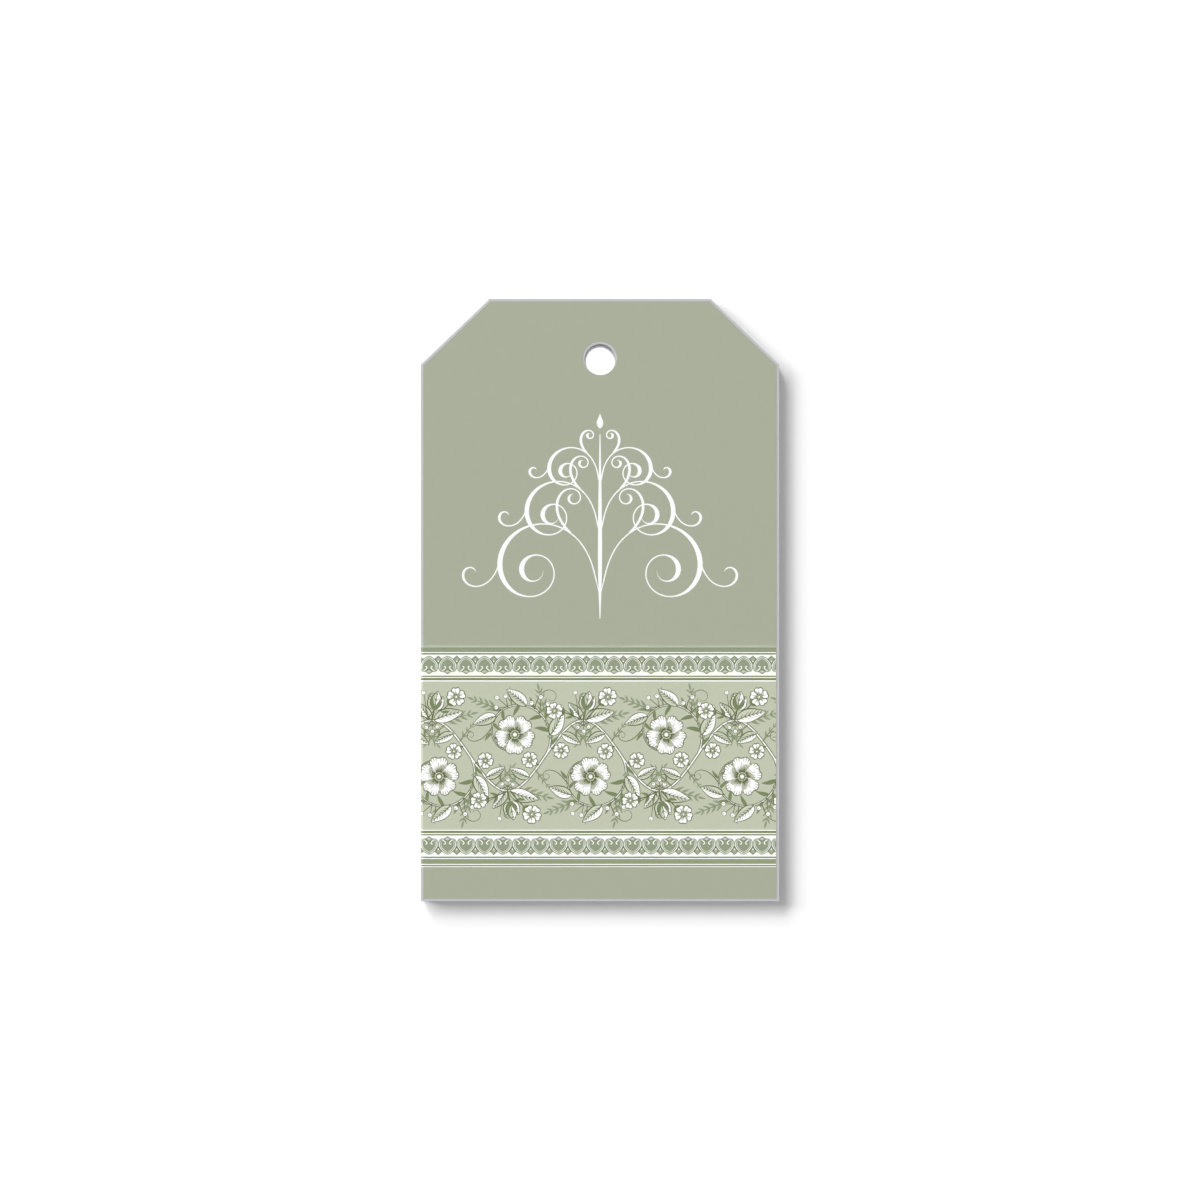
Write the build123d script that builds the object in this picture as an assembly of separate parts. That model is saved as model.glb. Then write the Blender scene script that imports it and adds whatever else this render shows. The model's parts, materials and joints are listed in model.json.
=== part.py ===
from build123d import *
import math
import os

# A gift tag of mounted board: a grey board with a lining paper pasted to its back, a facing
# paper pasted to its front and a patterned paper band pasted across the facing paper.
# Millimetres. The tag lies on its back: +Z points out of the printed front, +Y towards
# the hanging hole and +X to the right. The origin is the middle of the back face.

# Outline of the board: a rectangle whose two upper corners are clipped off straight
TAG_WIDTH = 54.0
TAG_LENGTH = 90.75
CORNER_CUT_ACROSS = 10.35
CORNER_CUT_DOWN = 9.9

# Bare margin of board that the facing paper leaves all round
MARGIN = 0.36

# Hanging hole on the centre line, through the board and its lining
HOLE_DIAMETER = 4.65
HOLE_FROM_TOP = 9.13

# The facing paper's own hole is wider by a margin all round and sits a little higher
HOLE_MARGIN = 0.21
FACING_HOLE_RAISED = 0.17

# Thickness of each sheet, from the back to the front
BACK_PAPER = 0.06
BACK_PASTE = 0.015
BOARD = 1.10
FRONT_PASTE = 0.015
FRONT_PAPER = 0.06

# Patterned band: on the left it turns down over the edge of the facing paper and ends
# with the board, on the right it stops short of the board's edge
BAND_WIDTH = 33.23
BAND_FROM_BOTTOM = 5.17
BAND_FROM_RIGHT = 0.51
BAND_PASTE = 0.015
BAND_PAPER = 0.06

# Places that follow from the sizes above
LEFT = -TAG_WIDTH / 2
RIGHT = TAG_WIDTH / 2
BOTTOM = -TAG_LENGTH / 2
TOP = TAG_LENGTH / 2
HOLE_HEIGHT = TOP - HOLE_FROM_TOP
BOARD_TOP = BACK_PAPER + BACK_PASTE + BOARD
FACING_STEP = FRONT_PASTE + FRONT_PAPER
FACING_TOP = BOARD_TOP + FACING_STEP
FACING_LEFT = LEFT + MARGIN
BAND_RIGHT = RIGHT - BAND_FROM_RIGHT


def tag_outline():
    """The outline that the die cuts, without its hole."""
    return Polygon(
        (LEFT, BOTTOM),
        (RIGHT, BOTTOM),
        (RIGHT, TOP - CORNER_CUT_DOWN),
        (RIGHT - CORNER_CUT_ACROSS, TOP),
        (LEFT + CORNER_CUT_ACROSS, TOP),
        (LEFT, TOP - CORNER_CUT_DOWN),
        align=None,
    )


def lay_up():
    """The sheets of the tag, each extruded from its outline at its own level."""
    board_hole = Pos(0, HOLE_HEIGHT) * Circle(HOLE_DIAMETER / 2)
    facing_hole = Pos(0, HOLE_HEIGHT + FACING_HOLE_RAISED) * Circle(HOLE_DIAMETER / 2 + HOLE_MARGIN)
    board = tag_outline() - board_hole
    facing = offset(tag_outline(), -MARGIN, kind=Kind.INTERSECTION) - facing_hole
    stack = [
        ("back_paper", board, BACK_PAPER),
        ("back_paste", board, BACK_PASTE),
        ("board_core", board, BOARD),
        ("front_paste", facing, FRONT_PASTE),
        ("front_paper", facing, FRONT_PAPER),
    ]
    sheets = {}
    level = 0.0
    for name, outline, thickness in stack:
        sheets[name] = Pos(0, 0, level) * extrude(outline, amount=thickness)
        level += thickness
    return sheets


def line_over_front(gap):
    """Points of the line that runs at one gap over the front: from the left edge of the board
    up to the edge of the facing paper, over the fold there and along to the band's right end."""
    slope = math.hypot(MARGIN, FACING_STEP)
    left_rise = gap * slope / MARGIN
    fold_shift = gap * (slope - MARGIN) / FACING_STEP
    return [
        (LEFT, BOARD_TOP + left_rise),
        (FACING_LEFT - fold_shift, FACING_TOP + gap),
        (BAND_RIGHT, FACING_TOP + gap),
    ]


def strip(under_side, upper_side):
    """A strip across the tag, between two lines of its section."""
    section = Plane.XZ * Polygon(*under_side, *reversed(upper_side), align=None)
    return Pos(0, BOTTOM + BAND_FROM_BOTTOM + BAND_WIDTH, 0) * extrude(section, amount=BAND_WIDTH)


# The band's paste fills the step beside the facing paper, so the band slopes over it
step_down = [
    (LEFT, BOARD_TOP),
    (FACING_LEFT, BOARD_TOP),
    (FACING_LEFT, FACING_TOP),
    (BAND_RIGHT, FACING_TOP),
]
band_under_side = line_over_front(BAND_PASTE)
band_upper_side = line_over_front(BAND_PASTE + BAND_PAPER)

pieces = lay_up()
pieces["band_paste"] = strip(step_down, band_under_side)
pieces["patterned_band"] = strip(band_under_side, band_upper_side)

os.makedirs("parts", exist_ok=True)
for name, piece in pieces.items():
    export_step(piece, f"parts/{name}.step")
    print(name, piece.bounding_box())
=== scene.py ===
# %% [markdown]
# # A gift tag of mounted board
#
# The tag is a sandwich: a grey board with a plain lining paper on its back and a sage-green paper
# on its front, cut a little short so that a margin of board shows all round. A strip of printed paper
# is pasted across the lower half. The sheets come from the CAD model at their real size, and Blender
# never moves them. What is left for this script is the looks: the finish of each sheet, the print on
# the strip, the white flourish on the front, the light and the camera.

# %% Load the sheets of the tag
import json
import math

import bmesh
import bpy
import numpy as np
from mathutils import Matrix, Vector


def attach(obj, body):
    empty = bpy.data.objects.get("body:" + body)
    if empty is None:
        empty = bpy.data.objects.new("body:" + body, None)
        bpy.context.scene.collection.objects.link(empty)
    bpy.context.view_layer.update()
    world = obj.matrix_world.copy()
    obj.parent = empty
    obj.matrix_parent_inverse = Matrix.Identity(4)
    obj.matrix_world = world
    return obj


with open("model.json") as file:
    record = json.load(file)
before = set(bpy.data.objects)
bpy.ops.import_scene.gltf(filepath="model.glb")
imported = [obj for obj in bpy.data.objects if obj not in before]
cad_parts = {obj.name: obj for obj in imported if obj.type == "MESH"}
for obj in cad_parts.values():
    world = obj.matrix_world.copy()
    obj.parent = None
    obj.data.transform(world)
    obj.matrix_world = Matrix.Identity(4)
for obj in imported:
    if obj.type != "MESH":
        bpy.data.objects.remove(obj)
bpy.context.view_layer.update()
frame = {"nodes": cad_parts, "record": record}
print("sheets of the tag:", sorted(frame["nodes"]))

# %% [markdown]
# ## Sizes, read off the sheets
#
# Print has to lie exactly on its paper, so every height and edge below is read from the sheets
# and not typed in again. All lengths in this script are millimetres until a mesh is written. The strip
# is turned down over the edge of the facing paper at its left end, so its top has three marks: the
# left end, the fold and the right end. Print that crosses the fold is bent along the same three marks.

# %% Measure the front and the strip
MM = 0.001
TOUCH = 0.002


def points_of(node):
    """All corner points of one sheet as rows of x, y and z, in millimetres."""
    corners = np.empty(len(frame["nodes"][node].data.vertices) * 3, np.float32)
    frame["nodes"][node].data.vertices.foreach_get("co", corners)
    return corners.reshape(-1, 3).astype(float) / MM


FRONT_TOP = points_of("front_paper")[:, 2].max()
BOARD_TOP = points_of("board_core")[:, 2].max()
strip = points_of("patterned_band")
STRIP_LEFT = strip[:, 0].min()
STRIP_RIGHT, STRIP_HIGH, STRIP_TOP = strip.max(axis=0)
FOLD = strip[strip[:, 2] > STRIP_TOP - TOUCH, 0].min()
LEFT_END_TOP = strip[strip[:, 0] < STRIP_LEFT + TOUCH, 2].max()
print(f"front at z {FRONT_TOP:.3f}, strip from x {STRIP_LEFT:.2f} to {STRIP_RIGHT:.2f}")
print(f"strip top at z {STRIP_TOP:.3f}, folded at x {FOLD:.3f} down to z {LEFT_END_TOP:.3f}")

# %% [markdown]
# ## How the finishes are put together
#
# A material is a small graph of nodes. Two helpers are enough for all of them: one turns the sRGB
# hex value that a swatch book gives into the linear values that Blender mixes light with, and one
# adds a node with its settings and links.

# %% Colour and node helpers


def linear(hex_colour, gain=1.0):
    """An sRGB hex value as linear RGBA: each channel is divided by 12.92 in the darks, and raised
    to the power 2.4 above them. A gain other than 1 lightens or darkens the result."""
    srgb = np.array([int(hex_colour[k:k + 2], 16) for k in (1, 3, 5)]) / 255
    light = np.where(srgb <= 0.04045, srgb / 12.92, ((srgb + 0.055) / 1.055) ** 2.4)
    return (*np.clip(light * gain, 0.0, 1.0), 1.0)


def add_node(tree, kind, inputs=None, **settings):
    """Adds a node of the type ShaderNode plus its kind. Settings are its properties, and inputs are
    numbers or links, by socket."""
    node = tree.nodes.new("ShaderNode" + kind)
    for name, value in settings.items():
        setattr(node, name, value)
    for socket, value in (inputs or {}).items():
        if isinstance(value, bpy.types.NodeSocket):
            tree.links.new(value, node.inputs[socket])
        else:
            node.inputs[socket].default_value = value
    return node


print("white paper in linear light:", np.round(linear("#fcfcf9")[:3], 3))

# %% [markdown]
# ## Paper, board and paste
#
# Uncoated paper is a felt of fibres. It gives the eye three things: no shine, a faint cloudiness
# where the pulp settled thicker or thinner, about a millimetre across, and a fine tooth that catches
# raking light. Real tooth is finer than a tenth of a millimetre, so it is drawn twice as coarse to show.
# One function makes that finish, and each sheet gets its own colours and sizes. A printed sheet has its
# colour only on the face, so where the die has cut through it the pale pulp shows: the function takes
# the height at which the face begins and picks the colour by Object Z.

# %% Finish of a sheet
MATT_IOR = 1.5
MATT_SPECULAR = 0.25
CLOUD_DETAIL = 3.0
FINE_DETAIL = 2.0
BELOW_EVERYTHING = -1.0


def matt_material(name, roughness):
    """A material with hardly any shine. Gives it with its graph, its shader and the place on the object."""
    material = bpy.data.materials.new(name)
    material.use_nodes = True
    tree = material.node_tree
    shader = tree.nodes["Principled BSDF"]
    shader.inputs["Roughness"].default_value = roughness
    shader.inputs["IOR"].default_value = MATT_IOR
    shader.inputs["Specular IOR Level"].default_value = MATT_SPECULAR
    return material, tree, shader, add_node(tree, "TexCoord").outputs["Object"]


def sheet_finish(
    name, face, cloud_mm, cloud_share, tooth_mm, tooth_depth_mm, roughness,
    pulp=None, face_from=BELOW_EVERYTHING, flattened=1.0,
):
    """Fibre sheet: pulp colour, if it has its own, below face_from and face colour above it, lightened
    and darkened by cloud_share over clouds of cloud_mm, with a tooth of the given grain and depth as
    bump. Clouds and tooth are flattened in height by a factor, which draws layers on a cut edge."""
    pulp = pulp or face
    material, tree, shader, place = matt_material(name, roughness)
    height = add_node(tree, "SeparateXYZ", {"Vector": place}).outputs["Z"]
    layered = add_node(tree, "Mapping", {"Vector": place, "Scale": (1.0, 1.0, flattened)})
    place = layered.outputs["Vector"]
    above = add_node(tree, "Math", {0: height, 1: face_from * MM}, operation="GREATER_THAN")
    on_face = above.outputs["Value"]
    clouds = {"Vector": place, "Scale": 1 / (cloud_mm * MM), "Detail": CLOUD_DETAIL}
    cloud = add_node(tree, "TexNoise", clouds).outputs["Fac"]
    light, dark = (
        add_node(
            tree, "MixRGB", {"Fac": on_face, "Color1": linear(pulp, gain), "Color2": linear(face, gain)}
        ).outputs["Color"]
        for gain in (1 + cloud_share, 1 - cloud_share)
    )
    colour = add_node(tree, "MixRGB", {"Fac": cloud, "Color1": dark, "Color2": light})
    grain = {"Vector": place, "Scale": 1 / (tooth_mm * MM), "Detail": FINE_DETAIL}
    tooth = add_node(tree, "TexNoise", grain).outputs["Fac"]
    bump = add_node(tree, "Bump", {"Height": tooth, "Strength": 1.0, "Distance": tooth_depth_mm * MM})
    tree.links.new(colour.outputs["Color"], shader.inputs["Base Color"])
    tree.links.new(bump.outputs["Normal"], shader.inputs["Normal"])
    return material


print("sheet finish ready")

# %% [markdown]
# The facing paper carries a flat sage tint. The strip is bright white art paper, the lining is a
# plain off-white. The board is light grey pulp. Its cut edge is painted a shade darker as painted shade,
# which keeps the edges that face the low lamps from showing white, and shows fine layers. Dried paste is a
# thin yellowish film, a little
# smoother than paper. The papers on the front are too thin for the eye to see their shadow, so only
# the board and its lining throw one.

# %% Dress the sheets
SHEET_FINISHES = {
    "front_paper": sheet_finish(
        "sage_tinted_text_paper", face="#a8ad99", cloud_mm=1.1, cloud_share=0.020, tooth_mm=0.22,
        tooth_depth_mm=0.002, roughness=0.82, pulp="#b2b5a6", face_from=FRONT_TOP - TOUCH,
    ),
    "patterned_band": sheet_finish(
        "bright_white_art_paper", face="#fcfcf9", cloud_mm=0.9, cloud_share=0.015, tooth_mm=0.20,
        tooth_depth_mm=0.002, roughness=0.70,
    ),
    # The board's darker pulp colour on its cut edge is painted shade against the low lamps
    "board_core": sheet_finish(
        "light_grey_pulp_board", face="#bfbfc5", cloud_mm=0.45, cloud_share=0.05, tooth_mm=0.15,
        tooth_depth_mm=0.004, roughness=0.90, pulp="#a2a2a3", face_from=BOARD_TOP - TOUCH, flattened=6.0,
    ),
    "back_paper": sheet_finish(
        "off_white_lining_paper", face="#eeebe2", cloud_mm=1.4, cloud_share=0.030, tooth_mm=0.25,
        tooth_depth_mm=0.008, roughness=0.85,
    ),
}
dried_paste = sheet_finish(
    "dried_starch_paste", face="#d2d0c8", cloud_mm=0.5, cloud_share=0.05, tooth_mm=0.15,
    tooth_depth_mm=0.002, roughness=0.45,
)
for paste_film in ("back_paste", "front_paste", "band_paste"):
    SHEET_FINISHES[paste_film] = dried_paste
for node, finish in SHEET_FINISHES.items():
    frame["nodes"][node].data.materials.clear()
    frame["nodes"][node].data.materials.append(finish)
for thin_sheet in ("front_paste", "front_paper", "band_paste", "patterned_band"):
    frame["nodes"][thin_sheet].visible_shadow = False
print("dressed:", {node: finish.name for node, finish in SHEET_FINISHES.items()})

# %% [markdown]
# ## Inks
#
# Offset ink sinks into paper and dries almost matt, and a solid of it is never quite even: small
# specks print a shade lighter or darker. Four greens make the design, from pale to olive, with an opaque
# white over them. A thin wash shades white petals and leaves, a tint lies under the vine, and a veil
# tones the strip's upper edge. The flourish on the front is white pigment foil, pressed on hot, so it is
# smoother than ink and covers the green fully.

# %% Mix the inks


def ink_finish(name, colour, speck_mm, speck_share, roughness):
    """Printing ink: one colour, lightened and darkened by speck_share over specks of speck_mm."""
    material, tree, shader, place = matt_material(name, roughness)
    specks = {"Vector": place, "Scale": 1 / (speck_mm * MM), "Detail": FINE_DETAIL}
    speck = add_node(tree, "TexNoise", specks).outputs["Fac"]
    dark, light = linear(colour, 1 - speck_share), linear(colour, 1 + speck_share)
    mixed = add_node(tree, "MixRGB", {"Fac": speck, "Color1": dark, "Color2": light})
    tree.links.new(mixed.outputs["Color"], shader.inputs["Base Color"])
    return material


# Name and colour of each ink, size in millimetres and share of its specks, and roughness
INKS = {
    "tint": ink_finish("field_tint_offset_ink", "#c1c6b0", 0.7, 0.03, 0.72),
    "veil": ink_finish("sage_veil_offset_ink", "#acb29e", 0.6, 0.03, 0.72),
    "pale": ink_finish("pale_sage_offset_ink", "#a6b098", 0.5, 0.04, 0.70),
    "wash": ink_finish("thin_sage_wash_ink", "#cdd3bf", 0.4, 0.04, 0.72),
    "mid": ink_finish("sage_offset_ink", "#919b80", 0.5, 0.05, 0.68),
    "deep": ink_finish("moss_offset_ink", "#78855d", 0.5, 0.06, 0.66),
    "line": ink_finish("dark_olive_offset_ink", "#5f6640", 0.5, 0.06, 0.66),
    "white": ink_finish("opaque_white_offset_ink", "#fdfdfb", 0.6, 0.02, 0.70),
    "foil": ink_finish("white_pigment_foil", "#fefefe", 0.8, 0.01, 0.42),
}
print("inks:", sorted(INKS))

# %% [markdown]
# ## Drawing with films
#
# A printed mark could be painted in the paper's material, but lines a tenth of a millimetre wide
# need an image for that. Here each mark is a thin film of ink instead: two edge lines, left and right,
# with a section of four corners carried between them. A film reaches from just under the paper's surface
# up to its own level, so that a later ink lies over an earlier one as on the press, and nothing floats.
# The design is drawn flat first. A frame is a function that takes points of a motif onto the sheet,
# so that motifs can be placed, turned, mirrored and nested.

# %% Frames and paths
# Films of each printed piece, by its name
PRINT = {}


def on_sheet(points):
    """The frame of the sheet itself: points stay where they are."""
    return np.asarray(points, float)


def placed(at, spot, heading=0.0, side=1.0):
    """A frame inside another: points are mirrored across their own x axis where side is -1, turned
    by heading, moved to spot and then taken on by the outer frame."""
    cosine, sine = math.cos(heading), math.sin(heading)
    turn = np.array([[cosine, sine], [-sine, cosine]])

    def onto(points):
        return at(np.asarray(spot) + (np.asarray(points) * (1.0, side)) @ turn)

    return onto


def sweep(length, bends, heading=0.0, start=(0.0, 0.0), count=24):
    """A path whose turning, in degrees per millimetre, runs evenly through the list of bends: the
    heading is the running sum of the turning, and the path is the running sum of its steps."""
    along = np.linspace(0.0, length, count)
    rate = np.interp(along, np.linspace(0.0, length, len(bends)), np.radians(bends))
    step = length / (count - 1)
    middle = heading + np.cumsum((rate[1:] + rate[:-1]) / 2 * step) - (rate[1:] + rate[:-1]) / 4 * step
    steps = np.stack([np.cos(middle), np.sin(middle)], axis=1) * step
    return np.asarray(start) + np.concatenate([np.zeros((1, 2)), np.cumsum(steps, axis=0)])


def spot_on(path, share):
    """The point at a share of a path's stations, and the heading of the path there."""
    index = share * (len(path) - 1)
    low = min(int(index), len(path) - 2)
    step = path[low + 1] - path[low]
    return path[low] + step * (index - low), math.atan2(step[1], step[0])


def left_of(path):
    """The unit vectors that point to the left of a path: its direction turned by a quarter."""
    step = np.gradient(path, axis=0)
    step /= np.linalg.norm(step, axis=1)[:, None]
    return np.stack([-step[:, 1], step[:, 0]], axis=1)


print("a quarter turn of radius 1 ends at", np.round(sweep(math.pi / 2, [math.degrees(1)] * 2)[-1], 2))

# %% Films and strokes


def film(piece, at, edge_a, edge_b, level):
    """Adds a film between two edge lines to a piece. The edges change places where needed, so that
    the first one is on the left and the film's top faces up."""
    edge_a, edge_b = at(edge_a), at(edge_b)
    step = np.diff(edge_a + edge_b, axis=0)
    across = (edge_b - edge_a)[:-1]
    if np.sum(step[:, 0] * across[:, 1] - step[:, 1] * across[:, 0]) > 0:
        edge_a, edge_b = edge_b, edge_a
    PRINT.setdefault(piece, []).append((edge_a, edge_b, level))


def stroke(piece, at, path, widths, level):
    """A film along a path: its edges lie half a width to the left and to the right."""
    path = at(path)
    reach = left_of(path) * (np.broadcast_to(widths, len(path)) / 2)[:, None]
    film(piece, on_sheet, path + reach, path - reach, level)


def mirrored_pair(x, y):
    """Two edge lines at x and -x, over the same heights y."""
    return np.stack([x, y], axis=1), np.stack([-x, y], axis=1)


def swelling(count, thin, thick, peak=0.5):
    """Widths that grow from thin to thick, up to the share peak, and shrink again, as a sine does."""
    share = np.linspace(0.0, 1.0, count)
    rise = np.where(share < peak, share / peak, (1 - share) / (1 - peak))
    return thin + (thick - thin) * np.sin(rise * math.pi / 2)


print("pen widths:", np.round(swelling(5, 0.1, 0.5), 2))

# %% [markdown]
# ## Stripes
#
# Plain stripes frame the two borders and the field. Each one is a single straight film from one
# end of the strip to the other. Between them the white of the paper itself shows. Like all print on the
# strip they run past its ends at first, and are cut off there later.

# %% Print the stripes and the field's ground
FIELD_LOW = -34.58
FIELD_HIGH = -12.27
OVERRUN = 1.0
STRIPE_LEVEL = 1
# Lower and upper edge of each stripe, under the name of the piece that it belongs to
STRIPES = {
    "stripes_veil": [(-7.20, STRIP_HIGH)],
    "stripes_mid": [(-7.83, -7.20), (-39.71, -39.00)],
    "stripes_deep": [
        (-7.26, -7.20), (-7.83, -7.77), (-8.21, -7.99), (-11.59, -11.40), (-12.07, -11.74), (-35.08, -34.76),
        (-35.43, -35.24), (-38.83, -38.63), (-39.06, -39.00), (-39.71, -39.64), (-40.08, -39.89),
    ],
    "field_ground": [(FIELD_LOW, FIELD_HIGH)],
}
stripe_ends = np.array([STRIP_LEFT - OVERRUN, STRIP_RIGHT + OVERRUN])
for piece, stripes in STRIPES.items():
    for low, high in stripes:
        upper_edge = np.stack([stripe_ends, np.full(2, high)], axis=1)
        lower_edge = np.stack([stripe_ends, np.full(2, low)], axis=1)
        film(piece, on_sheet, upper_edge, lower_edge, STRIPE_LEVEL)
    print(f"{piece}: {len(stripes)}")

# %% [markdown]
# ## Palmette borders
#
# Both borders are rows of one old ornament: a pointed arch that holds a heart, with two scrolls
# low in the heart, lozenges under it and more of them between it and the next arch. The outline of arch
# and heart is one formula in the height v, from 1 at the tip to -1 at the foot: the half width is a power
# of 1 - v², with a low power for round lobes and a high one for the pointed tip. The lower row is the
# upper one turned over.

# %% Draw one palmette
PALMETTE_PITCH = 2.786
PALMETTE_HALF_WIDTH = 1.40
PALMETTE_RISE = 1.48
PALMETTE_LOBE = 0.97
PALMETTE_STATIONS = 41
OPEN_STATIONS = 31
LOBE_POWER = 0.13
RIM_POWER = 0.72
RIM_SCALLOPS = 8
RIM_SCALLOP = 0.015
# Lines inside the rim: scale of the arch, power of its point, ink and width
ARCH_LINES = [(0.86, 0.75, "white", 0.10), (0.765, 0.79, "mid", 0.12), (0.705, 0.88, "white", 0.06)]
ARCH_TAPER = 0.3
HEART_SCALE = 0.685
HEART_POWER = 0.98
# Paths of the scroll in the heart, and of the straight lines under the heart and between two arches
VOLUTE = sweep(1.12, [150, 400, 230, 20, 10, 20], heading=math.radians(160), start=(0.57, -0.13), count=16)
VOLUTE_WIDTHS = swelling(len(VOLUTE), thin=0.08, thick=0.15, peak=0.2)
SHOULDER = np.linspace((0.04, -0.55), (0.60, -0.88), num=5)
V_LINE = np.linspace((0.56, 1.00), (0.02, 0.36), num=5)
# Lozenges under the heart and between two arches: ink, half width, top, bottom and level
FOOT_LOZENGES = [
    ("mid", 0.56, -0.56, -1.30, 7),
    ("pale", 0.42, -0.66, -1.16, 8),
    ("wash", 0.34, -0.73, -1.00, 9),
]
BETWEEN_LOZENGES = [
    ("mid", 0.64, 1.53, 0.40, 4),
    ("pale", 0.33, 1.20, 0.56, 5),
    ("white", 0.10, 0.80, 0.48, 7),
    ("line", 0.10, 0.48, 0.14, 8),
    ("mid", 0.08, -0.10, -0.55, 1),
]
HAIRLINE = 0.01


def arch(scale, point_power, scallop=0.0):
    """The two edges of an arch. Height v follows a cosine from 1 to -1, and the half width is
    1 - v² to the point_power above the widest place and to LOBE_POWER below it, with scallops."""
    v = np.cos(np.linspace(0.0, math.pi, PALMETTE_STATIONS))
    bulge = np.maximum(1 - v ** 2, 0.0) ** np.where(v > 0, point_power, LOBE_POWER)
    waves = 1 + scallop * np.cos(np.linspace(0.0, RIM_SCALLOPS * 2 * math.pi, PALMETTE_STATIONS))
    half = np.maximum(PALMETTE_HALF_WIDTH * scale * bulge * waves, HAIRLINE)
    return mirrored_pair(half, np.where(v > 0, v * PALMETTE_RISE, v * PALMETTE_LOBE) * scale)


def lozenge(piece, at, half_width, top, bottom, level):
    """Four straight sides: as wide as half_width in the middle, and a hairline at both tips."""
    half = np.array([HAIRLINE, half_width, HAIRLINE])
    film(piece, at, *mirrored_pair(half, np.array([top, (top + bottom) / 2, bottom])), level)


def disc(piece, at, radius, level, stations=9):
    """A round film: its half width is the radius times a sine, over a cosine of the same angle."""
    angle = np.linspace(0.0, math.pi, stations)
    half = np.maximum(radius * np.sin(angle), HAIRLINE)
    film(piece, at, *mirrored_pair(half, radius * np.cos(angle)), level)


def palmette(at):
    """One arch with its heart, scrolls and lozenges, about the widest place of the arch."""
    film("border_pale", at, *arch(1.0, RIM_POWER, RIM_SCALLOP), level=2)
    for scale, point_power, ink, width in ARCH_LINES:
        for edge in arch(scale, point_power):
            widths = swelling(OPEN_STATIONS, thin=width * ARCH_TAPER, thick=width, peak=0.6)
            stroke("border_" + ink, at, edge[:OPEN_STATIONS], widths, level=3)
    film("border_mid", at, *arch(HEART_SCALE, HEART_POWER), level=4)
    between = placed(at, (PALMETTE_PITCH / 2, 0.0))
    for side in (1.0, -1.0):
        stroke("border_white", at, VOLUTE * (side, 1.0), VOLUTE_WIDTHS, level=5)
        stroke("border_deep", at, SHOULDER * (side, 1.0), widths=0.09, level=9)
        stroke("border_line", between, V_LINE * (side, 1.0), widths=0.12, level=6)
    for middle, lozenges in ((at, FOOT_LOZENGES), (between, BETWEEN_LOZENGES)):
        for ink, half_width, top, bottom, level in lozenges:
            lozenge("border_" + ink, middle, half_width, top, bottom, level)


print("palmette rise:", PALMETTE_RISE, "mm, pitch", PALMETTE_PITCH, "mm")

# %% Print both rows of palmettes
FIRST_PALMETTE = -25.74
UPPER_ROW = -9.88
LOWER_ROW = -36.86
palmettes_in_row = math.ceil((STRIP_RIGHT - FIRST_PALMETTE) / PALMETTE_PITCH) + 1
for count in range(-1, palmettes_in_row):
    palmette_middle = FIRST_PALMETTE + PALMETTE_PITCH * count
    palmette(placed(on_sheet, (palmette_middle, UPPER_ROW)))
    palmette(placed(on_sheet, (palmette_middle, LOWER_ROW), side=-1.0))
print("palmettes in a row:", palmettes_in_row + 1)

# %% [markdown]
# ## The vine: leaves
#
# The field is a scrolling vine, the oldest of running ornaments: a wave for a stem, and in each
# hollow a branch that curls round a flower. Everything is drawn as an engraver would, in outline and
# hatching over white. A leaf is a curved rib with a half width that follows a sine, a little fuller near
# its foot. Veins leave the rib at a slant, longer and stronger on the shaded side.

# %% Draw a leaf and a dark leaflet
# Levels of print, the higher ones over the lower ones
STEM_LEVEL = 1
SMALL_LEVEL = 3
LEAF_LEVEL = 4
SPRAY_LEVEL = 5
FLOWER_LEVEL = 8
# Widths of an engraved line: in full, at an outline's ends, at a rib's tip and at a point
LINE = 0.125
OUTLINE_END = 0.06
RIB_END = 0.04
POINT = 0.03
SHADED_STRENGTH = 1.35
LEAF_STATIONS = 13
LEAFLET_STATIONS = 7
VEIN_SLANT = math.radians(42)
VEIN_BENDS = [-14, -30]
VEIN_STATIONS = 5
# Veins: side of the rib, reach as a share of the half width, and strength
VEIN_SIDES = [(-1.0, 1.12, 1.15), (1.0, 0.85, 0.8)]


def leaf(at, length, width, curl, level=LEAF_LEVEL, veins=6):
    """Half width: width / 2 times the sine of pi u^0.75 to the power 0.85, along a rib that curls
    one way and back. A wash shades one half, and outline, rib and veins are strokes over it."""
    rib = sweep(length, [curl, curl * 0.4, -curl * 0.8], count=LEAF_STATIONS)
    u = np.linspace(0.0, 1.0, LEAF_STATIONS)
    half = width / 2 * np.sin(math.pi * u ** 0.75) ** 0.85 + HAIRLINE
    reach = left_of(rib) * half[:, None]
    film("vine_white", at, rib + reach, rib - reach, level)
    film("vine_wash", at, rib, rib - reach, level + 1)
    outline = swelling(LEAF_STATIONS, OUTLINE_END, LINE)
    stroke("vine_line", at, rib + reach, outline, level + 2)
    stroke("vine_line", at, rib - reach, outline * SHADED_STRENGTH, level + 2)
    stroke("vine_line", at, rib, np.linspace(LINE * 1.4, RIB_END, LEAF_STATIONS), level + 2)
    for share in np.linspace(0.14, 0.80, veins):
        spot, heading = spot_on(rib, share)
        for side, reach_share, strength in VEIN_SIDES:
            vein = sweep(np.interp(share, u, half) * reach_share, VEIN_BENDS, count=VEIN_STATIONS)
            vein_at = placed(at, spot, heading + side * VEIN_SLANT, side)
            vein_widths = np.linspace(LINE * strength, POINT, VEIN_STATIONS)
            stroke("vine_line", vein_at, vein, vein_widths, level + 2)


def leaflet(at, length, width, curl, level=SMALL_LEVEL, ink="deep"):
    """A small leaf in solid green: half width is the sine of pi u^0.7 along an evenly curved rib."""
    rib = sweep(length, [curl, curl], count=LEAFLET_STATIONS)
    u = np.linspace(0.0, 1.0, LEAFLET_STATIONS)
    reach = left_of(rib) * (width / 2 * np.sin(math.pi * u ** 0.7) + HAIRLINE)[:, None]
    film("vine_" + ink, at, rib + reach, rib - reach, level)


print("leaf veins slant at", round(math.degrees(VEIN_SLANT)), "degrees")

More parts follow.
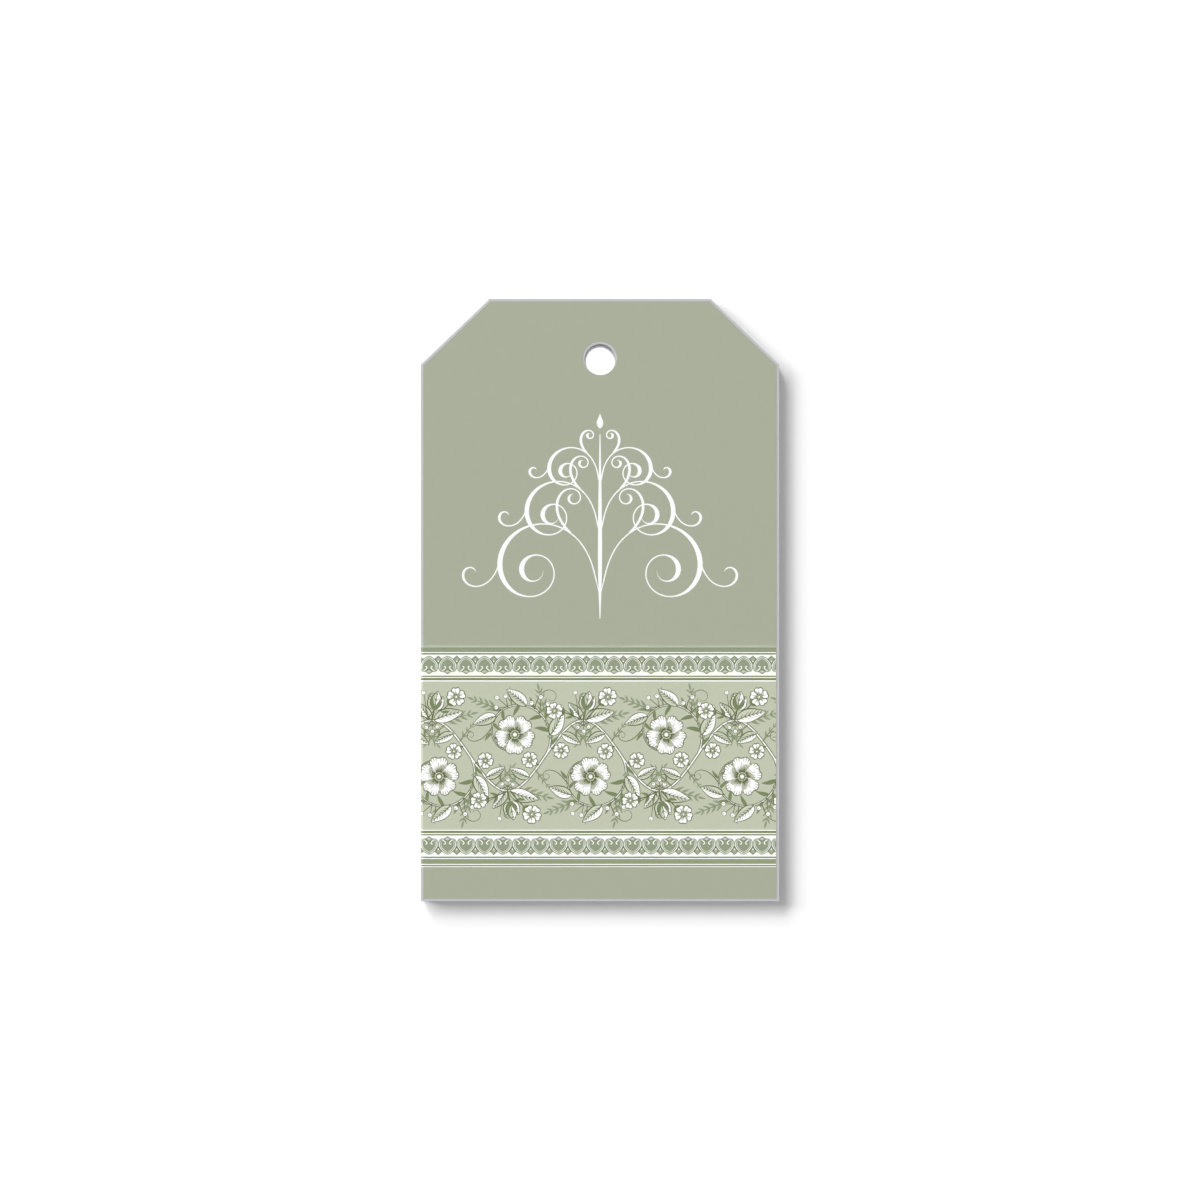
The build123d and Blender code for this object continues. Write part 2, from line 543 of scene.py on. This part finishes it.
# %% [markdown]
# ## The vine: flowers
#
# The flower is the five-petalled wild rose of old ornament books. A petal is a fan between an
# inner arc and a rim whose radius drops at both sides and dips in a notch in the middle. Fine lines run
# out from the heart and in from the rim, and the stamens are short rays with a dot at the tip.

# %% Draw the wild rose
PETALS = 5
PETAL_SPREAD = math.radians(40)
PETAL_STATIONS = 17
PETAL_LEVELS = 3
RAY_STATIONS = 4
# As shares of the radius, with short and long stamens in turn
PETAL_FOOT = 0.1
STAMEN_START = 0.14
STAMEN_REACH = [0.31, 0.38]
STAMEN_WIDTH = 0.023
STAMEN_DOT = 0.036
HEART = 0.18
HEART_DOT = 0.10


def ray(at, inner, outer, thick, thin, level):
    """A straight line from one radius to another along the frame's x axis."""
    path = np.stack([np.linspace(inner, outer, RAY_STATIONS), np.zeros(RAY_STATIONS)], axis=1)
    stroke("vine_line", at, path, np.linspace(thick, thin, RAY_STATIONS), level)


def petal(at, radius, level, rays):
    """Rim radius: 1 less 0.34 phi^4, less 0.05 phi², less a notch of 0.1 at phi = 0, where phi
    runs from -1 to 1 over the petal's spread. A wash fills the throat, further out on one side: up to
    0.48 - 0.28 phi + 0.12 phi² of the rim. Rays run out to about 0.6 of the radius, and in from the rim."""
    phi = np.linspace(-1.0, 1.0, PETAL_STATIONS)
    rim = radius * (1 - 0.34 * phi ** 4 - 0.05 * phi ** 2 - 0.1 * np.exp(-(phi / 0.2) ** 2))
    rim[[0, -1]] *= 0.75
    outward = np.stack([np.cos(phi * PETAL_SPREAD), np.sin(phi * PETAL_SPREAD)], axis=1)
    foot = outward * PETAL_FOOT * radius
    film("vine_white", at, foot, outward * rim[:, None], level)
    throat = 0.48 - 0.28 * phi + 0.12 * phi ** 2
    film("vine_wash", at, foot, outward * (rim * throat)[:, None], level + 1)
    outline = swelling(PETAL_STATIONS, OUTLINE_END, LINE * 1.15)
    stroke("vine_line", at, outward * rim[:, None], outline, level + 2)
    for share in np.linspace(-0.80, 0.80, rays):
        along = placed(at, (0.0, 0.0), share * PETAL_SPREAD)
        middle = abs(share) < 0.1
        reach = radius * (0.72 if middle else 0.60 - 0.14 * share)
        ray(along, 0.22 * radius, reach, LINE * 1.05, POINT, level + 2)
        if not middle:
            edge = np.interp(share, phi, rim)
            ray(along, edge * 0.97, edge * 0.78, LINE * 0.8, POINT, level + 2)


def rose(at, radius, rays=9):
    """Five petals: each second one lies over its neighbours, and the last one over the first and the
    fourth. Stamens and a round heart lie on top."""
    for count in range(PETALS):
        over = PETAL_LEVELS * (count % 2 + 2 * (count == PETALS - 1))
        petal(placed(at, (0.0, 0.0), math.radians(360 / PETALS * count)), radius, FLOWER_LEVEL + over, rays)
    top = FLOWER_LEVEL + 3 * PETAL_LEVELS
    width = STAMEN_WIDTH * radius
    for count in range(2 * PETALS):
        along = placed(at, (0.0, 0.0), math.radians(180 / PETALS * (count + 0.5)))
        reach = radius * STAMEN_REACH[count % 2]
        ray(along, STAMEN_START * radius, reach, width, width, top)
        disc("vine_line", placed(along, (reach, 0.0)), STAMEN_DOT * radius, top, stations=5)
    disc("vine_deep", at, radius * HEART, top + 1)
    disc("vine_white", at, radius * HEART_DOT, top + 2)


print("petals:", PETALS)

# %% [markdown]
# ## The vine: small growth
#
# Buds, leafy sprigs, berries, tendrils and small blossoms fill the gaps. They are made from the same
# leaf, leaflet, rose, disc and stroke, so they match the rest.

# %% Draw buds, sprigs and berries
SPRIG_STATIONS = 12
SPRIG_SLANT = math.radians(40)
SEPAL_SLANT = math.radians(42)
# Turn in degrees, size and level of each petal of a bud
BUD_PETALS = [(-24, 0.80, 1), (24, 0.80, 1), (0, 0.95, 4)]
# Turn in degrees of each berry's stalk, and its share of the reach
BERRY_STALKS = [(-34, 0.9), (4, 1.15), (38, 0.85)]
STALK_STATIONS = 6
BERRY_RIM = 0.07


def sprig(at, length, curl=8.0, pairs=4):
    """A thin stem with pairs of leaflets that get smaller towards a single one at its tip."""
    stem = sweep(length, [curl, -curl * 0.5], count=SPRIG_STATIONS)
    stroke("vine_deep", at, stem, np.linspace(0.22, 0.08, SPRIG_STATIONS), SMALL_LEVEL)
    for share in np.linspace(0.28, 0.9, pairs):
        spot, heading = spot_on(stem, share)
        size = length * 0.36 * (1.05 - 0.5 * share)
        for side in (-1.0, 1.0):
            blade = placed(at, spot, heading + side * SPRIG_SLANT, side)
            leaflet(blade, size, width=size * 0.27, curl=-6, ink="mid")
    spot, heading = spot_on(stem, 1.0)
    leaflet(placed(at, spot, heading), length * 0.26, width=length * 0.07, curl=0, ink="mid")


def bud(at, length):
    """Three folded petals on a short stem, held by two dark sepals."""
    stem = sweep(length * 0.35, [0, 0], count=4)
    stroke("vine_line", at, stem, LINE * 1.6, FLOWER_LEVEL)
    head = placed(at, stem[-1])
    for turn, size, over in BUD_PETALS:
        petal_at = placed(head, (0.0, 0.0), math.radians(turn))
        leaf(petal_at, length * 0.62 * size, length * 0.34, curl=0.0, level=FLOWER_LEVEL + over, veins=3)
    for side in (-1.0, 1.0):
        sepal_at = placed(head, (-0.05, 0.0), side * SEPAL_SLANT, side)
        leaflet(sepal_at, length * 0.42, length * 0.12, curl=-26, level=FLOWER_LEVEL + 7)


def berries(at, reach, size=0.30):
    """Three round berries on curved stalks, each with a dot for its dried flower."""
    for turn, share in BERRY_STALKS:
        stalk_at = placed(at, (0.0, 0.0), math.radians(turn))
        stalk = sweep(reach * share, [turn * 0.4, -turn * 0.3], count=STALK_STATIONS)
        stroke("vine_line", stalk_at, stalk, np.linspace(0.12, 0.09, STALK_STATIONS), SPRAY_LEVEL)
        berry = placed(stalk_at, stalk[-1] + (size * 0.8, 0.0))
        disc("vine_line", berry, size + BERRY_RIM, SPRAY_LEVEL + 1)
        disc("vine_white", berry, size, SPRAY_LEVEL + 2)
        dot = placed(berry, (size * 0.35, -size * 0.1))
        disc("vine_line", dot, BERRY_RIM, SPRAY_LEVEL + 3, stations=5)


print("berries on a stalk:", len(BERRY_STALKS), "petals of a bud:", len(BUD_PETALS))

# %% Draw tendrils, sprays and stems
TENDRIL_STATIONS = 30
SPRAY_STATIONS = 10
SPRAY_SLANT = math.radians(48)
SPRAY_PAIRS = [0.30, 0.62]


def tendril(at, length, tight=110.0):
    """A thin line that turns faster and faster until it has rolled itself up."""
    path = sweep(length, [4, 12, 40, tight, tight * 1.5], count=TENDRIL_STATIONS)
    stroke("vine_line", at, path, np.linspace(0.15, 0.06, TENDRIL_STATIONS), SMALL_LEVEL)


def blossom_spray(at, length, curl, radius):
    """A curved stalk with a small blossom at its end, and leaflets in pairs along it."""
    stalk = sweep(length, [curl, curl * 0.4], count=SPRAY_STATIONS)
    stroke("vine_line", at, stalk, np.linspace(0.20, 0.12, SPRAY_STATIONS), SPRAY_LEVEL)
    for share in SPRAY_PAIRS:
        spot, heading = spot_on(stalk, share)
        for side in (-1.0, 1.0):
            blade = placed(at, spot, heading + side * SPRAY_SLANT, side)
            leaflet(blade, length=1.35, width=0.40, curl=-10, level=SPRAY_LEVEL)
    rose(placed(at, stalk[-1], math.radians(30)), radius, rays=3)


def vine_stem(path, thick, thin):
    """A stem in outline: a dark stroke with a white one over it that leaves a line on both sides."""
    widths = np.linspace(thick, thin, len(path))
    stroke("vine_line", on_sheet, path, widths, STEM_LEVEL)
    stroke("vine_white", on_sheet, path, np.maximum(widths - 2 * LINE, 2 * HAIRLINE), STEM_LEVEL + 1)


print("leaflets on a spray:", 2 * len(SPRAY_PAIRS))

# %% [markdown]
# ## The vine: layout
#
# The stem is a sine wave. Where it crosses the middle line, a branch leaves it along its own
# direction and spirals inwards, and a rose fills the eye of the spiral. A scroll above the stem is the one
# below it mirrored across the middle line, so one function draws both.

# %% Lay out one scroll of the vine
VINE_PITCH = 11.4
VINE_WAVE = 5.3
VINE_MIDDLE = (FIELD_LOW + FIELD_HIGH) / 2
VINE_FIRST = -31.0
SCROLL_RADIUS = 5.6
SCROLL_EYE = 1.2
SCROLL_TURN = math.radians(395)
SCROLL_STATIONS = 44
ROSE_RADIUS = 3.05
# What grows on a branch: share of the branch where it starts, turn in degrees and length
BRANCH_LEAVES = [(0.085, 44, 4.2), (0.26, 40, 3.9), (0.43, 46, 3.7)]
BRANCH_BERRIES = [(0.19, 50, 1.9), (0.35, 62, 1.7)]
# Leaflets inside and outside the spiral: share of the branch and length
INNER_LEAFLETS = [(0.10, 2.5), (0.17, 2.3), (0.29, 2.1), (0.38, 1.9), (0.47, 1.8), (0.56, 1.6)]
OUTER_LEAFLETS = [(0.05, 1.9), (0.155, 2.1), (0.225, 1.9), (0.39, 2.0), (0.53, 1.7)]


def stem_height(x):
    """Height of the stem over the middle line, in a scroll's own frame: a falling sine."""
    return -VINE_WAVE * np.sin(math.pi * x / VINE_PITCH)


def stem_heading(x):
    """Heading of the stem in a scroll's own frame: the arc tangent of the sine's slope."""
    return math.atan(-VINE_WAVE * math.pi / VINE_PITCH * math.cos(math.pi * x / VINE_PITCH))


def scroll_branch(at):
    """A spiral: the angle falls evenly, and the radius shrinks from SCROLL_RADIUS to SCROLL_EYE with
    the share of the turn to the power 1.15. It starts along the stem. Gives the path and its centre."""
    leave = math.pi / 2 - math.atan(VINE_WAVE * math.pi / VINE_PITCH)
    centre = -SCROLL_RADIUS * np.array([math.cos(leave), math.sin(leave)])
    share = np.linspace(0.0, 1.0, SCROLL_STATIONS)
    angle = leave - SCROLL_TURN * share
    radius = SCROLL_RADIUS + (SCROLL_EYE - SCROLL_RADIUS) * share ** 1.15
    branch = centre + radius[:, None] * np.stack([np.cos(angle), np.sin(angle)], axis=1)
    vine_stem(at(branch), thick=0.40, thin=0.22)
    return branch, centre


def scroll(at):
    """A branch with its rose, and leaves, leaflets, berries, tendrils and sprigs along it."""
    branch, centre = scroll_branch(at)
    rose(placed(at, centre, math.radians(20)), ROSE_RADIUS)

    def off_branch(share, turn, mirror=1.0):
        spot, heading = spot_on(branch, share)
        return placed(at, spot, heading + math.radians(turn), mirror)

    for share, turn, size in BRANCH_LEAVES:
        leaf(off_branch(share, turn), size, width=size * 0.46, curl=-10)
    for share, size in INNER_LEAFLETS:
        leaflet(off_branch(share, -48, -1.0), size, width=size * 0.26, curl=14)
    for share, size in OUTER_LEAFLETS:
        leaflet(off_branch(share, 56), size, width=size * 0.26, curl=-16)
    for share, turn, reach in BRANCH_BERRIES:
        berries(off_branch(share, turn), reach)
    tendril(off_branch(0.50, 28), length=7.4)
    tendril(off_branch(0.22, 74), length=7.2, tight=70.0)
    sprig(off_branch(0.38, 46), length=4.6)
    sprig(off_branch(0.145, 26), length=4.8, curl=-6)
    sprig(off_branch(0.33, 96), length=2.3, pairs=3)


print("rose in the eye of a scroll:", round(2 * ROSE_RADIUS, 1), "mm across")

# %% Lay out the crests and the hollows between scrolls
# Place along the stem and turn in degrees, then the side of the curl, or a sprig's length and curl
CREST_LEAVES = [(-9.0, -66, -1.0), (-2.4, -118, 1.0)]
CREST_TENDRILS = [(-6.9, -40, -1.0), (-4.5, -140, 1.0)]
CREST_SPRIGS = [(-7.6, -78, 3.8, -6), (-3.8, -104, 3.8, 6), (-10.2, 58, 3.0, -8), (-1.5, 112, 3.0, -8)]
CREST_BLOSSOMS = [(-10.6, -70), (-1.0, -95)]


def crest(at):
    """What grows on the stem over a rose: leaves, tendrils, berries, sprigs and small blossoms inside
    the arch, and sprigs on its back."""

    def off_stem(along, turn, mirror=1.0):
        return placed(at, (along, stem_height(along)), stem_heading(along) + math.radians(turn), mirror)

    for along, turn, mirror in CREST_LEAVES:
        leaf(off_stem(along, turn, mirror), length=3.3, width=1.45, curl=12)
    for along, turn, mirror in CREST_TENDRILS:
        tendril(off_stem(along, turn, mirror), length=5.0, tight=150.0)
    berries(off_stem(-5.7, -92), reach=1.25, size=0.26)
    for along, turn, length, curl in CREST_SPRIGS:
        sprig(off_stem(along, turn), length, curl, pairs=3)
    for along, turn in CREST_BLOSSOMS:
        blossom_spray(off_stem(along, turn), length=1.6, curl=0, radius=1.25)


def hollow(at):
    """The spray that fills the hollow outside a bend of the stem: a bud, leaves, blossoms, berries."""

    def off_bend(across, up, turn, mirror=1.0):
        return placed(at, np.array([0.0, -VINE_WAVE]) + (across, up), math.radians(turn), mirror)

    bud(off_bend(0.0, 0.0, -78), length=4.8)
    leaf(off_bend(0.3, 0.0, -30), length=4.6, width=2.0, curl=10)
    leaf(off_bend(-0.2, 0.0, -118, -1.0), length=3.4, width=1.5, curl=10)
    blossom_spray(off_bend(0.5, -0.2, -52), length=4.6, curl=3, radius=1.45)
    blossom_spray(off_bend(-0.4, -0.1, -146, -1.0), length=4.2, curl=9, radius=1.3)
    sprig(off_bend(0.9, 0.1, -2, -1.0), length=5.0)
    tendril(off_bend(0.6, -0.2, -66, -1.0), length=7.4)
    berries(off_bend(-0.6, -0.1, -104), reach=3.4)


print("stem swings", VINE_WAVE, "mm either side of y", round(VINE_MIDDLE, 2))

# %% Print the vine
STEM_STATIONS = 130
STEM_WIDTH = 0.46
stem_x = np.linspace(STRIP_LEFT - 2 * OVERRUN, STRIP_RIGHT + 2 * OVERRUN, STEM_STATIONS)
stem_y = VINE_MIDDLE + VINE_WAVE * np.sin(math.pi * (stem_x - VINE_FIRST) / VINE_PITCH)
vine_stem(np.stack([stem_x, stem_y], axis=1), STEM_WIDTH, STEM_WIDTH)
scrolls = math.ceil((STRIP_RIGHT - VINE_FIRST) / VINE_PITCH) + 1
for count in range(-1, scrolls):
    side = 1.0 if count % 2 else -1.0
    crossing = VINE_FIRST + VINE_PITCH * count
    at_crossing = placed(on_sheet, (crossing, VINE_MIDDLE), side=side)
    scroll(at_crossing)
    crest(at_crossing)
    hollow(placed(on_sheet, (crossing + VINE_PITCH / 2, VINE_MIDDLE), side=side))
print("scrolls:", scrolls + 1, "films of line ink:", len(PRINT["vine_line"]))

# %% [markdown]
# ## The flourish
#
# The upper half of the front carries a penman's flourish in white. A pointed nib draws thin lines
# upwards and spreads into thick ones downwards, so the width follows the direction of the stroke. The
# paths are curves whose bend tightens steadily, which is how a hand draws a scroll. Everything is drawn once
# and mirrored: three pairs of scrolls on a stem, like a candlestick, with a drop on top.

# %% Draw the flourish
HAIR = 0.19
SHADE = 0.58
SHADE_POWER = 1.6
SCROLL_BENDS = np.array([3, -5, -8, -8.5, -9.5, -12, -15, -20, -28, -42])
SCROLL_LENGTH = 51
TENDRIL_BENDS = np.array([4, 10, 18, 34, 60, 90])
TAIL_BENDS = np.array([2, 12, 22, 40, 75])
# Share of a scroll where each offshoot leaves it, its length and its bends
OFFSHOOTS = [(0.20, 15, TENDRIL_BENDS), (0.47, 12, TAIL_BENDS)]
OFFSHOOT_SHADE = 0.35
NIB_LIFT = 0.05
NIB_TIP = 0.2
FOIL_LEVEL = 1


def pen_stroke(start, heading, length, bends, thick_way, strength, count=120):
    """A swept path drawn on both sides of the centre line. Its width is a hairline plus a shade: the
    share of its step that goes up, or down where thick_way is -1, to SHADE_POWER. Over the share
    NIB_LIFT at both ends it narrows to NIB_TIP of that."""
    path = sweep(length, bends, heading, start, count)
    step = np.gradient(path, axis=0)
    rising = thick_way * step[:, 1] / np.linalg.norm(step, axis=1)
    share = np.linspace(0.0, 1.0, count)
    ends = np.clip(np.minimum(share, 1 - share) / NIB_LIFT, NIB_TIP, 1.0)
    widths = (HAIR + SHADE * strength * np.clip(rising, 0.0, 1.0) ** SHADE_POWER) * ends
    for side in (1.0, -1.0):
        stroke("flourish", on_sheet, path * (side, 1.0), widths, FOIL_LEVEL)
    return path


def scroll_tier(height, size, heading, strength):
    """A pair of scrolls with a tendril and a tail, which leave it along its own direction."""
    branch = pen_stroke(
        (0.0, height), math.radians(heading), SCROLL_LENGTH * size, SCROLL_BENDS / size, -1.0, strength
    )
    for share, length, bends in OFFSHOOTS:
        spot, leaving = spot_on(branch, share)
        pen_stroke(spot, leaving, length * size, bends / size, 1.0, OFFSHOOT_SHADE, count=60)


print("nib:", HAIR, "mm, spread up to", round(HAIR + SHADE, 2), "mm")

# %% Print the flourish
# Height of each pair of scrolls on the stem, size, heading in degrees and strength of the shade
TIERS = [(0.6, 1.0, 74, 1.0), (9.6, 0.74, 76, 0.85), (17.0, 0.52, 78, 0.7)]
FLOURISH_FOOT = -2.8
FLOURISH_HEAD = 25.0
FLOURISH_STATIONS = 40
DROP_TOP = 28.2
DROP_LENGTH = 2.4
DROP_HALF_WIDTH = 0.5
DROP_POWER = 1.6
DROP_STATIONS = 13
for tier in TIERS:
    scroll_tier(*tier)
stem_rise = np.linspace(FLOURISH_FOOT, FLOURISH_HEAD, FLOURISH_STATIONS)
stem_widths = swelling(FLOURISH_STATIONS, thin=0.12, thick=0.62, peak=0.35)
stroke("flourish", on_sheet, np.stack([0 * stem_rise, stem_rise], axis=1), stem_widths, FOIL_LEVEL)
down_drop = np.linspace(0.0, 1.0, DROP_STATIONS)
drop_half = DROP_HALF_WIDTH * np.sin(math.pi * down_drop ** DROP_POWER) + HAIRLINE
drop_edges = mirrored_pair(drop_half, DROP_TOP - DROP_LENGTH * down_drop)
film("flourish", on_sheet, *drop_edges, FOIL_LEVEL)
print("flourish strokes:", len(PRINT["flourish"]))

# %% [markdown]
# ## From drawing to print
#
# Each piece collects its films into one mesh. The four corners of a film's section, carried along the
# stations, give four rows of faces, and a cap closes each end. Print on the strip is cut off at the
# strip's ends, divided at the fold and then lifted onto the paper, so that it folds down with it.

# %% Turn films into a mesh
LEVEL = 0.0015
SUNK = -0.004
STAGGER = 0.035
STAGGER_COUNT = 17


def film_mesh(films, sublevel):
    """Points and faces of a list of films. Corners run left top, right top, right bottom, left
    bottom, and each quad joins two neighbouring corners over two neighbouring stations. Films of one
    level are staggered by a hair, so that no two tops lie in one plane."""
    points, faces, used = [], [], 0
    for order, (left, right, level) in enumerate(films):
        count = len(left)
        top = np.full((count, 1), LEVEL * (level + sublevel + STAGGER * (order % STAGGER_COUNT)))
        bottom = np.full((count, 1), SUNK)
        rows = [np.hstack(pair) for pair in ((left, top), (right, top), (right, bottom), (left, bottom))]
        corner = used + np.arange(4 * count).reshape(4, count)
        beside = np.roll(corner, -1, axis=0)
        quads = [corner[:, :-1], beside[:, :-1], beside[:, 1:], corner[:, 1:]]
        points += rows
        faces += [np.stack(quads, axis=-1).reshape(-1, 4), corner[[0, 3, 2, 1], :1].T, corner[:, -1:].T]
        used += 4 * count
    return np.concatenate(points), np.concatenate(faces)


print(f"one level of print: {LEVEL / MM:.1f} micrometres")

# %% Press the films onto the paper
STRIP_MARKS = [STRIP_LEFT, FOLD, STRIP_RIGHT]
STRIP_HEIGHTS = [LEFT_END_TOP, STRIP_TOP, STRIP_TOP]
# Part of a level by which an ink lies over others of the same level
SUBLEVELS = {"mid": 0.05, "deep": 0.1, "white": 0.15, "line": 0.2}


def add_to_scene(name, data):
    """A new object that shows a mesh, a lamp or a camera."""
    holder = bpy.data.objects.new(name, data)
    bpy.context.scene.collection.objects.link(holder)
    return holder


def trim_to_strip(mesh):
    """Cuts a mesh off at both ends of the strip, closes the cuts and divides it at the fold."""
    work = bmesh.new()
    work.from_mesh(mesh)
    for mark, way, cut_off in ((STRIP_LEFT, -1, True), (STRIP_RIGHT, 1, True), (FOLD, 1, False)):
        everything = work.verts[:] + work.edges[:] + work.faces[:]
        bmesh.ops.bisect_plane(
            work, geom=everything, plane_co=(mark, 0, 0), plane_no=(way, 0, 0), clear_outer=cut_off
        )
        open_edges = [edge for edge in work.edges if edge.is_boundary]
        bmesh.ops.holes_fill(work, edges=open_edges, sides=0)
    work.to_mesh(mesh)
    work.free()


def press(piece, ink, sublevel, on_strip):
    """Makes one printed piece: its films as a mesh, trimmed and folded where it is on the strip, at
    the height of the paper under it."""
    points, faces = film_mesh(PRINT[piece], sublevel)
    mesh = bpy.data.meshes.new(piece)
    mesh.from_pydata(points, [], faces)
    if on_strip:
        trim_to_strip(mesh)
    flat = np.empty(len(mesh.vertices) * 3, np.float32)
    mesh.vertices.foreach_get("co", flat)
    points = flat.reshape(-1, 3)
    points[:, 2] += np.interp(points[:, 0], STRIP_MARKS, STRIP_HEIGHTS) if on_strip else FRONT_TOP
    mesh.vertices.foreach_set("co", (points * MM).ravel())
    mesh.materials.append(INKS[ink])
    mesh.update()
    printed = add_to_scene(piece, mesh)
    printed.visible_shadow = False
    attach(printed, "root")
    print(f"{piece}: {len(PRINT[piece])} films, {len(mesh.polygons)} faces")


for piece in sorted(set(PRINT) - {"flourish", "field_ground"}):
    ink = piece.split("_")[1]
    press(piece, ink, SUBLEVELS.get(ink, 0.0), True)
press("field_ground", "tint", 0.0, True)
press("flourish", "foil", 0.0, False)

# %% [markdown]
# ## Table
#
# The tag lies on a white table. To the camera the table adds a little light of its own, so that bare
# table is white and the shadow stays. It lies a hair higher than the tag's back, so that the two never
# share a plane.

# %% Table
TABLE_HALF = 2000.0
TABLE_LIFT = 0.01
TABLE_GLOW = 0.13
TABLE_WHITE = 0.90
table_span = np.array([-TABLE_HALF, TABLE_HALF]) * MM
table_x, table_y = np.meshgrid(table_span, table_span)
table_points = np.stack([table_x, table_y, np.full((2, 2), TABLE_LIFT * MM)], axis=-1).reshape(-1, 3)
table_mesh = bpy.data.meshes.new("white_table")
table_mesh.from_pydata(table_points, [], [(0, 1, 3, 2)])
table = add_to_scene("white_table", table_mesh)
table_white = bpy.data.materials.new("white_laminate")
table_white.use_nodes = True
tree = table_white.node_tree
tree.nodes.clear()
matt = add_node(tree, "BsdfDiffuse", {"Color": (TABLE_WHITE,) * 3 + (1.0,)})
seen = add_node(tree, "LightPath").outputs["Is Camera Ray"]
glow_strength = add_node(tree, "Math", {0: seen, 1: TABLE_GLOW}, operation="MULTIPLY")
glow = add_node(tree, "Emission", {"Strength": glow_strength.outputs["Value"]})
both = add_node(tree, "AddShader", {0: matt.outputs["BSDF"], 1: glow.outputs["Emission"]})
add_node(tree, "OutputMaterial", {"Surface": both.outputs["Shader"]})
table_mesh.materials.append(table_white)
print("table:", 2 * TABLE_HALF * MM, "m wide")

# %% [markdown]
# ## Light
#
# Three large soft lamps stand low in a fan at the upper left, and throw the shadow to the lower right. A
# white room fills in the rest. Together they give a flat sheet the light at which a colour renders as it
# is written. The room is full white to the camera and below the table, so that the back can be looked
# at. Low lamps don't reach far into the hole, so a thin beam from straight above falls through it and
# lights the table there.

# %% Lamps
KEY_SHARE = 0.72
KEY_SPREAD = math.radians(18)
# Each lamp's heading and elevation in degrees, and its part of the key light
KEY_LAMPS = [(-23.0, 17.3, 0.38), (-44.0, 18.5, 0.25), (-63.0, 17.3, 0.37)]


def lamp(heading, elevation, share):
    """A soft distant lamp that shines along a heading, down from an elevation. A level sheet gets that
    share of full light from it: its strength is the share times pi, over the sine of the elevation."""
    name = f"key_lamp_{-heading:.0f}"
    turn = math.radians(heading)
    rise = math.radians(elevation)
    towards = Vector((math.cos(turn) * math.cos(rise), math.sin(turn) * math.cos(rise), -math.sin(rise)))
    light = bpy.data.lights.new(name, "SUN")
    light.energy = share * math.pi / math.sin(rise)
    light.angle = KEY_SPREAD
    add_to_scene(name, light).rotation_euler = towards.to_track_quat("-Z", "Y").to_euler()


for heading, elevation, key_part in KEY_LAMPS:
    lamp(heading, elevation, KEY_SHARE * key_part)
print("lamps:", len(KEY_LAMPS))

# %% Room
ROOM_SHARE = 0.28
room = bpy.data.worlds.new("white_room")
bpy.context.scene.world = room
room.use_nodes = True
tree = room.node_tree
background = tree.nodes["Background"]
background.inputs["Color"].default_value = (1.0, 1.0, 1.0, 1.0)
way = add_node(tree, "TexCoord").outputs["Generated"]
upward = add_node(tree, "SeparateXYZ", {"Vector": way}).outputs["Z"]
below = add_node(tree, "Math", {0: upward, 1: 0.0}, operation="LESS_THAN").outputs["Value"]
rays = add_node(tree, "LightPath").outputs
full = rays["Is Camera Ray"]
for case in (rays["Is Glossy Ray"], rays["Is Transmission Ray"], below):
    full = add_node(tree, "Math", {0: full, 1: case}, operation="MAXIMUM").outputs["Value"]
room_light = add_node(tree, "Math", {0: full, 1: 1 - ROOM_SHARE, 2: ROOM_SHARE}, operation="MULTIPLY_ADD")
tree.links.new(room_light.outputs["Value"], background.inputs["Strength"])
bpy.context.scene.view_settings.view_transform = "Standard"
print("light on a level sheet:", ROOM_SHARE + KEY_SHARE)

# %% Beam through the hole
BEAM_SHARE = 0.75
BEAM_RADIUS = 2.2
BEAM_LOWERED = 0.06
BEAM_CONE = math.radians(1)
BEAM_FADE = 0.1
hole = next(mount for mount in frame["record"]["mounts"] if mount["name"] == "hang_hole")
beam_height = BEAM_RADIUS / math.tan(BEAM_CONE / 2) * MM
beam_light = bpy.data.lights.new("hole_beam", "SPOT")
beam_light.spot_size = BEAM_CONE
beam_light.spot_blend = BEAM_FADE
beam_light.shadow_soft_size = 0.0
# A spot's power spreads over a sphere, and a share of full light is that share of pi
beam_light.energy = BEAM_SHARE * math.pi * 4 * math.pi * beam_height ** 2
beam = add_to_scene("hole_beam", beam_light)
beam.location = (hole["pos_m"][0], hole["pos_m"][1] - BEAM_LOWERED * MM, beam_height)
print("beam height:", round(beam_height / MM), "mm")

# %% [markdown]
# ## Camera
#
# The tag is seen straight from above, through a lens short enough to look a little way into the hole.
# The camera's height follows from how much of the table the square picture shows.

# %% Camera
PICTURE_WIDTH = 180.73
LENS = 32.0
SENSOR = 36.0
camera_data = bpy.data.cameras.new("camera")
camera_data.lens = LENS
camera_data.sensor_width = SENSOR
camera = add_to_scene("camera", camera_data)
camera.location = (0.0, 0.0, (FRONT_TOP + PICTURE_WIDTH * LENS / SENSOR) * MM)
bpy.context.scene.camera = camera
print("camera height:", round(camera.location.z / MM), "mm")
